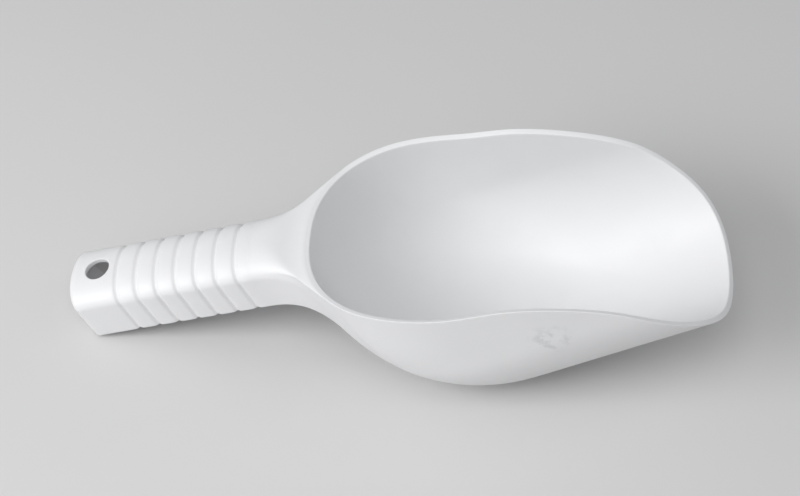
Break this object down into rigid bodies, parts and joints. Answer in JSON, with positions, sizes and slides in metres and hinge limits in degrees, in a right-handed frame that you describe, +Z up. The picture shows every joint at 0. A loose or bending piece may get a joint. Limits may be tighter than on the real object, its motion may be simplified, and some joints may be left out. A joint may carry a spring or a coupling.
{
  "type": "feed scoop",
  "caption": "White moulded feed scoop: half-round open bowl with a rounded closed rear, flared neck, and a grooved channel handle with a hang hole.",
  "frame": {"origin": "floor level, at the middle of the footprint's bounding box; the scoop stands on its heel and on the lower edge of the handle's end", "axes": "+Z up, +X from the handle to the lip, Y across; the part is mirror-symmetric about Y = 0"},
  "size_m": [0.329, 0.1204, 0.0857],
  "materials": {
    "body": "satin white injection-moulded polyolefin, lightly scuffed by use"
  },
  "bodies": {
    "root": {"bowl": "body", "neck": "body", "handle": "body"}
  },
  "joints": []
}
